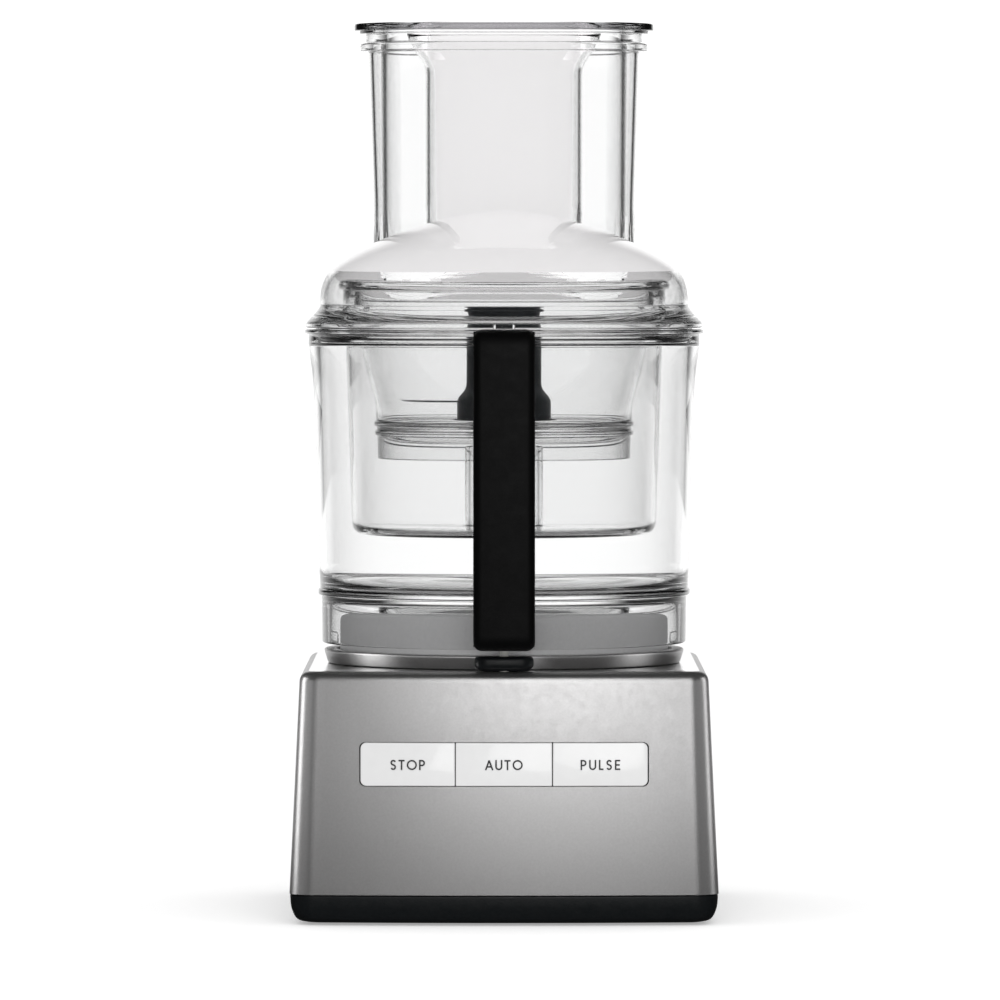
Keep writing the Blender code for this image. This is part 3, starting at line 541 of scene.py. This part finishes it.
# Bayonet lugs. Four low, clear pads inside the bowl's skirt, beside the drum.
lug_profile = soften([(0.9, 83.2), (0.0, 83.6), (0.0, 86.6), (0.4, 86.8)], (0, 0.4, 0.2, 0), closed=False)
for number, facing in enumerate((np.pi + 0.16, -0.16, 0.9, np.pi - 0.9), 1):
    rows = []
    for inset, radius in lug_profile:
        outline = rounded_oblong(-3.4 + inset, 3.4 - inset, 136.0 + inset, 142.0 - inset, (1.6,) * 4)
        rows.append([(radius * np.cos(facing + u / radius), radius * np.sin(facing + u / radius), z)
                     for u, z in outline])
    lug = skin("bayonet_lug_%d" % number, rows, CLEAR)
    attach(lug, "bowl")


# Handle. A black satin moulding clipped to the bowl at the rim and the skirt, with a channel inside for the
# safety rod and a strip that closes the channel from the fingers' side.
HANDLE_BLACK = finish("handle_black", (0.0012, 0.0012, 0.0014), (0.0020, 0.0020, 0.0022), (0.50, 0.58),
                      scale=1800.0, bump=0.10, Specular_IOR_Level=0.18)
handle_low, handle_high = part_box("handle_grip")
FRONT_Y, HANDLE_TOP, HANDLE_BOTTOM = handle_low[1] / MM, handle_high[2] / MM, handle_low[2] / MM
HANDLE_HALF = handle_high[0] / MM
side_view = soften([
    (-92.3, HANDLE_BOTTOM), (-92.7, 152.0), (-93.6, 159.0), (-117.0, 159.6), (-117.0, 263.6), (-96.2, 265.6),
    (-97.4, 275.0), (-98.8, 284.4), (-100.2, 288.0), (-100.2, HANDLE_TOP), (FRONT_Y, HANDLE_TOP),
    (FRONT_Y, HANDLE_BOTTOM)], (0.8, 2.0, 0.8, 9.0, 9.0, 1.0, 2.0, 1.0, 0.6, 1.0, 10.0, 8.0), steps=8)


def grown(outline, amount):
    """Closed outline moved along its own normals, the tangent turned a quarter, by a signed amount."""
    tangent = np.roll(outline, -1, axis=0) - np.roll(outline, 1, axis=0)
    tangent /= np.linalg.norm(tangent, axis=1, keepdims=True)
    return outline + amount * np.stack([tangent[:, 1], -tangent[:, 0]], axis=1)


EDGE = 4.2
across = np.linspace(np.pi / 2, 0.0, 9)
edge_steps = [(-HANDLE_HALF + EDGE * (1 - np.sin(a)), EDGE * (1 - np.cos(a))) for a in across]
handle_rows = []
for x, amount in edge_steps + [(-x, amount) for x, amount in edge_steps[::-1]]:
    y, z = grown(side_view, -amount).T
    handle_rows.append(np.stack([np.full_like(y, x), y, z], axis=1))
handle = skin("black_handle", handle_rows, HANDLE_BLACK)


def box_tool(name, low, high):
    """Plain box for cutting between two corners."""
    rows = [[(low[0], low[1], z), (high[0], low[1], z), (high[0], high[1], z), (low[0], high[1], z)]
            for z in (low[2], high[2])]
    return skin(name, rows, HANDLE_BLACK)


combine(handle, "DIFFERENCE", [box_tool("channel_tool", (-3.0, -124.0, 142.0), (3.0, -118.4, 300.0)),
                               box_tool("foot_slot_tool", (-3.2, -124.2, 130.0), (3.2, -96.0, 143.4)),
                               box_tool("cover_tool", (-4.0, -119.0, 172.0), (4.0, -110.0, 252.0))])
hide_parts("handle_grip")
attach(handle, "bowl")


# Middle bowl. The same clear plastic, thinner, hung by its flange on the large bowl's ledge, with its own
# hollow column round the large bowl's one.
midi_outline = soften([
    (17.0, 188.0), (72.0, 188.0), (76.0, 191.5), (79.0, 283.0), (79.6, 283.8), (93.8, 283.8), (93.8, 285.6),
    (77.2, 285.6), (74.0, 193.0), (71.0, 190.5), (19.5, 190.5), (19.5, 235.6), (17.0, 235.6)],
    (0.8, 4.5, 4.0, 1.0, 0.6, 0.7, 0.7, 1.6, 2.4, 2.4, 1.6, 1.0, 0.6), steps=6)
midi = turned("middle_clear_bowl", midi_outline, CLEAR, 168, crease=50)
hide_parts("midi_bowl")
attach(midi, "midi")


# Small bowl. Clear, with a cone for a wall above an upright band, ribs round its foot and a short skirt.
mini_outline = soften([
    (8.2, 239.0), (61.4, 239.0), (61.4, 226.0), (63.2, 226.0), (63.4, 237.2), (64.7, 237.6), (64.7, 239.4),
    (63.7, 239.9), (63.7, 241.6), (65.0, 242.0), (65.0, 244.0), (64.0, 244.6), (64.2, 253.0), (71.6, 283.0),
    (72.0, 286.0), (93.4, 286.0), (93.4, 287.6), (69.8, 287.6), (69.4, 283.0), (62.1, 253.0), (61.9, 243.4),
    (60.0, 241.5), (10.6, 241.5), (10.2, 283.0), (8.2, 283.0)],
    (0.5, 1.0, 0.7, 0.7, 0.4, 0.5, 0.5, 0.3, 0.3, 0.5, 0.5, 0.4, 3.0, 2.0, 1.0, 0.7, 0.7, 1.2, 2.0, 3.0, 1.5,
     1.5, 1.2, 0.8, 0.4))
mini = turned("small_clear_bowl", mini_outline, CLEAR, 168, crease=50)
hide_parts("mini_bowl")
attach(mini, "mini")


# Blade. A slate-coloured hub drops over the small bowl's column onto the shaft. Two ground steel wings at
# different heights are moulded into its foot, one of them with a saw edge.
SLATE = finish("slate_moulding", (0.008, 0.012, 0.015), (0.012, 0.016, 0.019), (0.34, 0.44), scale=1400.0,
               bump=0.08)
hub_outline = soften([
    (1.0, 291.6), (5.6, 291.6), (5.6, 284.6), (11.8, 284.6), (11.8, 243.0), (23.5, 243.0), (23.5, 256.0),
    (18.7, 262.5), (18.7, 282.5), (20.2, 285.6), (20.2, 290.0), (18.6, 292.4), (18.6, 295.0), (21.3, 295.3),
    (21.3, 296.7), (15.8, 297.0), (18.7, 299.5), (17.2, 299.5), (14.4, 297.6), (1.0, 297.6)],
    (0, 0.4, 0.4, 0.4, 0.4, 1.0, 2.5, 3.0, 2.0, 1.2, 1.2, 0.8, 0.2, 0.5, 0.5, 0.6, 0.4, 0.5, 0.6, 0),
    closed=False)
hub = turned("blade_hub_moulding", hub_outline, SLATE, 96, False)
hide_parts("blade_hub")
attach(hub, "blade")
GROUND_STEEL = finish("ground_blade_steel", (0.62, 0.62, 0.63), (0.72, 0.72, 0.73), (0.14, 0.24), 1.0,
                      scale=700.0, bump=0.03)


def wing_rows(facing, height, teeth):
    """Sickle blade on a grid of t along it and s across it: radius = 24.2 + 36.3 t, the middle sweeps back
    with t and t squared, and the width falls as (1 - t)^0.8. The cutting side is ground thin, and its teeth
    are a triangle wave along t."""
    t = np.linspace(0.0, 1.0, 121)[:, None]
    side = np.array([-1.0, -0.55, 0.6, 1.0])
    radius = 24.2 + 36.3 * t
    middle = facing - 0.10 * t - 0.42 * t ** 2
    spread = (9.0 * (1.0 - t) ** 0.8 + 0.9) / radius
    notch = teeth * 1.1 * np.abs((t * 14.0) % 1.0 - 0.5) * 2.0 / radius
    thick = np.array([0.10, 0.6, 0.6, 0.5])
    rows = []
    for column, half in ((0, 1), (1, 1), (2, 1), (3, 1), (3, -1), (2, -1), (1, -1), (0, -1)):
        turn = middle + side[column] * spread + (notch if column == 0 else 0.0)
        rows.append(np.concatenate([radius * np.cos(turn), radius * np.sin(turn),
                                    np.full_like(t, height + 0.6 + half * thick[column])], axis=1))
    return np.stack(rows, axis=1)


for word, facing, teeth in (("upper", np.pi, 1.0), ("lower", 0.0, 0.0)):
    base_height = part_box("blade_" + word)[0][2] / MM
    wing = skin("steel_wing_" + word, wing_rows(facing, base_height, teeth), GROUND_STEEL, crease=20)
    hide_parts("blade_" + word)
    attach(wing, "blade")


# Splash ring. A clear ring that stands on the bowls' flanges under the lid. Its upper edge is a double wall
# with a bead, tilted a little down to the front.
ring_outline = soften([
    (90.4, 288.0), (90.4, 289.4), (84.6, 290.2), (80.7, 296.0), (80.7, 312.0), (82.8, 313.0), (83.2, 315.6),
    (81.8, 316.8), (74.4, 316.8), (73.3, 315.2), (73.3, 302.0), (75.1, 302.0), (75.1, 314.6), (78.9, 314.6),
    (78.9, 296.0), (82.4, 288.0)],
    (0.6, 0.6, 3.0, 3.0, 1.0, 1.0, 1.2, 1.0, 1.2, 1.0, 0.8, 0.8, 1.2, 1.2, 2.0, 1.0))
ring = turned("splash_guard", ring_outline, CLEAR, 168, tilt=lambda z: 0.032 * np.clip((z - 290) / 12, 0, 1),
              crease=50)
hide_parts("splash_ring")
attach(ring, "ring")


# Lid and feed tube. One clear moulding: a flange over the bowl's rim, a skirt inside it, a high dome, and a
# wide tube with a lip that rises behind the middle. A lug at the front holds the safety rod down.
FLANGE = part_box("main_bowl")[1][2] / MM + 0.7
TUBE_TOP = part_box("feed_tube")[1][2] / MM
TUBE_Y, TUBE_DEPTH = 42.0, 33.0
dome_points = [(99.0, 294.0), (97.6, 295.2), (93.0, 300.4), (92.0, 302.0), (91.9, 309.0), (90.4, 314.8),
               (87.5, 319.5), (82.6, 324.0), (75.0, 328.9), (66.5, 333.0), (52.0, 339.0), (37.0, 343.8),
               (20.0, 348.0), (0.4, 350.0)]
dome_reach = (0.9, 0.8, 1.4, 0.9, 4.0, 4.0, 4.0, 4.0, 5.0, 6.0, 7.0, 8.0, 9.0, 0.0)
inner_points = [(max(r - 2.0, 0.4), z - 1.8) for r, z in dome_points[:1:-1]]
skirt_points = [(91.7, 296.0), (91.8, 288.5), (93.6, 288.5), (93.8, FLANGE), (99.2, FLANGE)]
inner_reach, skirt_reach = (0, 9, 8, 7, 6, 5, 4, 4, 4, 4, 0.9, 1.0), (1.0, 0.6, 0.6, 0.8, 0.9)
lid_outline = soften(inner_points + skirt_points + dome_points, inner_reach + skirt_reach + dome_reach,
                     closed=False)
lid = turned("domed_lid", lid_outline, CLEAR, 192, False, crease=50)


def stadium(half_width, half_depth, z, ends=25, straight=12):
    """Level outline round the feed tube's middle: two half circles joined by straight runs."""
    reach = half_width - half_depth
    a = np.linspace(-np.pi / 2, np.pi / 2, ends)
    along = np.linspace(1.0, -1.0, straight + 2)[1:-1]
    x = np.concatenate([reach + half_depth * np.cos(a), reach * along, -reach - half_depth * np.cos(a),
                        -reach * along])
    y = np.concatenate([half_depth * np.sin(a), np.full(straight, half_depth), -half_depth * np.sin(a),
                        np.full(straight, -half_depth)])
    return np.stack([x, TUBE_Y + y, np.full_like(x, z)], axis=1)


def stadium_rows(profile, reach, closed=True):
    """Rows for skin from a profile of (half width, half depth, height) points with softened corners."""
    return [stadium(*point) for point in soften(profile, reach, closed, 6)]


def seated(rows, lowest):
    """Rows whose first and last outlines drop to just inside the dome: z is read off the dome's profile at
    each point's distance from the axis."""
    dome_r, dome_z = np.array(dome_points[::-1]).T
    for row in (rows[0], rows[-1]):
        row[:, 2] = np.interp(np.hypot(row[:, 0], row[:, 1]), dome_r, dome_z) - lowest
    return rows


tube_rows = [stadium(66.0, TUBE_DEPTH, 300.0)]
tube_rows += stadium_rows([(66.1, TUBE_DEPTH, 355.0), (68.4, 33.6, 430.0), (72.5, 37.6, 430.2),
                           (72.5, 37.6, TUBE_TOP), (66.3, 31.4, TUBE_TOP), (63.9, 30.8, 355.0)],
                          (3.0, 0.8, 0.8, 1.2, 1.2, 3.0), closed=False)
tube_rows.append(stadium(63.8, 30.8, 300.0))
tube = skin("tube_tool", seated(tube_rows, 0.9), CLEAR, ring=True)
lug_outline = rounded_oblong(-5.4, 5.4, -125.0, -96.0, (2.0, 2.0, 2.0, 2.0))
lug_tool = skin("lug_tool", [[(x, y, z) for x, y in lug_outline] for z in (291.5, 293.8)], CLEAR)
opening = skin("opening_tool", [stadium(63.6, 30.6, z) for z in (304.0, 380.0)], CLEAR)
combine(lid, "DIFFERENCE", [opening], crease=50)
combine(lid, "UNION", [tube, lug_tool], crease=50)
# The dome's underside is frosted, and its emission is a painted glow that stands in for light coming through
# it from behind.
MILKY_WITH_PAINTED_GLOW = finish("milky_dome", (0.70, 0.69, 0.695), (0.72, 0.71, 0.715), (0.35, 0.45), scale=300.0, bump=0.01,
               Emission_Color=(1.0, 0.985, 0.99, 1.0), Emission_Strength=0.34, Specular_IOR_Level=0.2)
lid.data.materials.append(MILKY_WITH_PAINTED_GLOW)
for face in lid.data.polygons:
    reach, height = np.hypot(face.center.x, face.center.y) / MM, face.center.z / MM
    face.material_index = int(face.normal.z < -0.15 and reach < 86.0 and 318.0 < height < 352.0)
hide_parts("lid_shell", "feed_tube")
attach(lid, "lid")


# Large pusher. A hollow clear moulding that fills the feed tube, with a wide flange to push on and a narrow
# tube with a funnel mouth right through its middle.
PUSHER_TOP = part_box("large_pusher")[1][2] / MM
pusher_profile = [
    (61.2, 28.6, 330.0), (62.2, 29.0, 434.4), (69.6, 35.0, 434.4), (69.6, 35.0, 438.9), (72.7, 38.0, 438.9),
    (73.0, 38.0, 440.5), (75.5, 41.0, 440.5), (75.5, 41.0, PUSHER_TOP), (62.0, 28.0, PUSHER_TOP),
    (59.8, 26.6, 438.0), (59.2, 26.6, 332.4), (39.5, 24.0, 332.4), (39.5, 24.0, 423.0), (49.8, 25.4, 437.6),
    (48.0, 23.6, 438.0), (37.6, 22.0, 423.6), (37.6, 22.0, 330.0)]
pusher_reach = (2.5, 0.8, 0.8, 0.6, 0.6, 0.4, 0.5, 1.2, 2.5, 3.0, 2.5, 2.5, 4.0, 0.8, 0.8, 4.0, 0.8)
pusher = skin("wide_pusher", stadium_rows(pusher_profile, pusher_reach), CLEAR, ring=True, crease=50)
# The flange's edge faces get a dark grey clear finish: painted shade for the dark line along the flange's
# top. The real flange is clear there too.
RIM_PAINTED_SHADE = clear_finish("clear_rim_edge", (0.30, 0.30, 0.31), (0.0, 0.01))
pusher.data.materials.append(RIM_PAINTED_SHADE)
for face in pusher.data.polygons:
    face.material_index = int(440.6 * MM < face.center.z < 443.4 * MM and abs(face.normal.z) < 0.6)
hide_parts("large_pusher")
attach(pusher, "pusher")


# Small pusher. A deep cup in the same plastic with a frosted wall, which hangs by its collar in the large
# pusher's funnel and doubles as a measure.
# The frosted wall's emission is a painted glow that stands in for light passing through it from behind.
FROSTED_WITH_PAINTED_GLOW = finish("frosted_copolyester", (0.70, 0.69, 0.695), (0.72, 0.71, 0.715), (0.28, 0.36), scale=300.0,
                 bump=0.01, Emission_Color=(1.0, 0.985, 0.99, 1.0), Emission_Strength=0.62,
                 Specular_IOR_Level=0.2)
small_profile = [(2.0, 1.0, 336.0), (33.6, 19.2, 336.0), (34.6, 20.0, 421.0), (36.0, 20.6, 424.4),
                 (46.4, 22.4, 438.4), (46.4, 22.4, 440.2), (34.0, 19.0, 440.2), (32.2, 17.8, 436.0),
                 (31.4, 17.4, 338.4), (2.0, 1.0, 338.4)]
small_reach = (0, 3.0, 3.0, 2.0, 0.6, 0.6, 2.0, 3.0, 2.4, 0)
small_rows = stadium_rows(small_profile, small_reach, closed=False)
small_pusher = skin("narrow_pusher", small_rows, FROSTED_WITH_PAINTED_GLOW, crease=50)
small_pusher.data.materials.append(CLEAR)
for face in small_pusher.data.polygons:
    face.material_index = int(face.center.z > 424.0 * MM and abs(face.center.x) > 34.0 * MM)
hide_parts("small_pusher")
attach(small_pusher, "inner_pusher")


# Shaft. Turned and polished steel that runs in two bearings and rises through the bowls' columns to the
# blade.
TURNED_STEEL = finish("turned_steel", (0.55, 0.55, 0.56), (0.64, 0.64, 0.65), (0.16, 0.28), 1.0, scale=900.0,
                      bump=0.05)
shaft_outline = soften([(0.4, 19.0), (5.0, 19.0), (5.0, 287.4), (3.8, 290.0), (0.4, 290.0)],
                       (0, 1, 0.6, 0.4, 0), closed=False)
shaft = turned("polished_shaft", shaft_outline, TURNED_STEEL, 64, False)
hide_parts("motor_shaft")
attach(shaft, "rotor")


# Inner pieces. Motor, boards, switch and fasteners keep their built shapes, and each gets the finish of what
# it is made of.
def dress(material, *nodes):
    """Give built nodes one finish."""
    for name in nodes:
        mesh = bpy.data.objects[name].data
        mesh.materials.clear()
        mesh.materials.append(material)


dress(TURNED_STEEL, "bearing_upper", "bearing_lower", "safety_rod")
dress(TURNED_STEEL, "tray_screw_1", "tray_screw_2", "tray_screw_3", "tray_screw_4")
dress(finish("laminated_steel", (0.20, 0.20, 0.21), (0.30, 0.30, 0.31), (0.4, 0.55), 1.0, scale=600.0,
             bump=0.2), "motor_stator")
dress(finish("enamelled_copper", (0.42, 0.15, 0.06), (0.62, 0.27, 0.12), (0.28, 0.42), 0.9, scale=1800.0,
             bump=0.6), "winding_upper", "winding_lower")
dress(finish("cast_aluminium", (0.50, 0.51, 0.52), (0.60, 0.61, 0.62), (0.42, 0.58), 1.0, scale=900.0,
             bump=0.2), "motor_shield_upper", "motor_shield_lower", "rotor_core")
dress(finish("board_laminate", (0.012, 0.11, 0.055), (0.018, 0.16, 0.08), (0.35, 0.5), scale=1200.0,
             bump=0.1), "control_board", "key_board")
dress(finish("pale_moulding", (0.60, 0.60, 0.57), (0.66, 0.66, 0.63), (0.4, 0.55), scale=900.0,
             bump=0.08), "run_capacitor", "switch_plunger")
dress(finish("dark_moulding", (0.020, 0.020, 0.022), (0.028, 0.028, 0.030), (0.45, 0.6), scale=900.0,
             bump=0.1), "safety_switch", "key_carrier", "cooling_fan")
dress(HANDLE_BLACK, "handle_cover")


# Studio. A white floor and a white backdrop behind the machine, with the rest of the room dark, so that clear
# pieces are drawn by dark edges. Soft boxes light the metallic front, its corners and the drum.
floor_mesh = bpy.data.meshes.new("studio_floor")
floor_mesh.from_pydata([(-6, -6, 0), (6, -6, 0), (6, 6, 0), (-6, 6, 0)], [], [(0, 1, 2, 3)])
floor = bpy.data.objects.new("studio_floor", floor_mesh)
bpy.context.scene.collection.objects.link(floor)
DIFFUSE_FILL, ROOM_DARK, BACKDROP, PAGE = 0.80, 0.03, 1.18, 1.1


def ramp(tree, value, low, high, start, end):
    """Smooth step of a value from low..high to start..end."""
    made = node(tree, "ShaderNodeMapRange", None, value, low, high, start, end)
    made.interpolation_type = "SMOOTHSTEP"
    return made.outputs["Result"]


floor_white = bpy.data.materials.new("floor_white")
floor_white.use_nodes = True
ground = floor_white.node_tree
floor_shader = feed(ground, ground.nodes["Principled BSDF"], {
    "Base Color": (0.9, 0.9, 0.9, 1.0), "Roughness": 0.9, "Specular IOR Level": 0.0,
    "Emission Color": (1.0, 1.0, 1.0, 1.0), "Emission Strength": 0.35})
floor_path = node(ground, "ShaderNodeLightPath")
place = node(ground, "ShaderNodeTexCoord").outputs["Object"]
split = node(ground, "ShaderNodeSeparateXYZ", None, place)
wide = calc(ground, "ADD", calc(ground, "ABSOLUTE", split.outputs["X"]), 0.3)
lit = ramp(ground, calc(ground, "DIVIDE", split.outputs["Y"], wide), 0.2, 1.6, ROOM_DARK, BACKDROP)
filled = calc(ground, "MULTIPLY", floor_path.outputs["Is Diffuse Ray"], DIFFUSE_FILL)
glow = node(ground, "ShaderNodeEmission", None, Strength=calc(ground, "MAXIMUM", lit, filled))
either = node(ground, "ShaderNodeMixShader", None, floor_path.outputs["Is Camera Ray"], glow.outputs[0],
              floor_shader.outputs[0])
ground.links.new(either.outputs[0], ground.nodes["Material Output"].inputs["Surface"])
floor_mesh.materials.append(floor_white)

world = bpy.data.worlds.new("studio_surround")
world.use_nodes = True
bpy.context.scene.world = world
sky = world.node_tree
sky_path = node(sky, "ShaderNodeLightPath")
direction = node(sky, "ShaderNodeTexCoord").outputs["Generated"]
toward = node(sky, "ShaderNodeSeparateXYZ", None, direction)
backdrop = ramp(sky, toward.outputs["Y"], 0.85, 0.97, ROOM_DARK, BACKDROP)
filled = calc(sky, "MULTIPLY", sky_path.outputs["Is Diffuse Ray"], DIFFUSE_FILL)
seen = calc(sky, "MULTIPLY", sky_path.outputs["Is Camera Ray"], PAGE)
room = calc(sky, "MAXIMUM", calc(sky, "MAXIMUM", backdrop, filled), seen)
feed(sky, sky.nodes["Background"], {"Strength": room, "Color": (1.0, 1.0, 1.0, 1.0)})


def soft_box(name, place, target, width, height, watts, pieces):
    """Rectangular lamp that faces a point, both in metres, and lights only the given pieces."""
    data = bpy.data.lights.new(name, "AREA")
    data.shape = "RECTANGLE"
    data.size, data.size_y = width, height
    data.energy = watts
    lamp = bpy.data.objects.new(name, data)
    lamp.location = place
    lamp.rotation_euler = (Vector(target) - Vector(place)).to_track_quat("-Z", "Y").to_euler()
    bpy.context.scene.collection.objects.link(lamp)
    lit_by = bpy.data.collections.new(name + "_pieces")
    for piece in pieces:
        lit_by.objects.link(piece)
    lamp.light_linking.receiver_collection = lit_by


opaque = [piece for piece in bpy.data.objects if piece.type == "MESH" and piece.data.materials
          and CLEAR not in list(piece.data.materials)]
metal = [housing, collar]
soft_box("key_light", (0.085, -0.957, 0.385), (0.0, -0.1, 0.1), 0.39, 0.62, 1.9, opaque)
soft_box("front_fill", (0.0, -2.2, 0.28), (0.0, 0.0, 0.06), 2.4, 0.5, 1.7, metal + [drum])
soft_box("left_strip", (-0.72, 0.02, 0.22), (-0.1, -0.1, 0.09), 0.30, 0.50, 1.5, metal)
soft_box("right_strip", (0.72, 0.02, 0.22), (0.1, -0.1, 0.09), 0.30, 0.50, 0.8, metal)
soft_box("left_fill", (-1.6, -1.1, 0.30), (0.0, 0.0, 0.12), 1.6, 1.0, 2.6, metal + [drum])
soft_box("right_fill", (1.6, -1.1, 0.30), (0.0, 0.0, 0.12), 1.6, 1.0, 1.8, metal + [drum])
soft_box("drum_fill", (-0.5, -2.0, 0.35), (0.0, 0.0, 0.14), 2.2, 0.9, 6.0, [collar, drum])
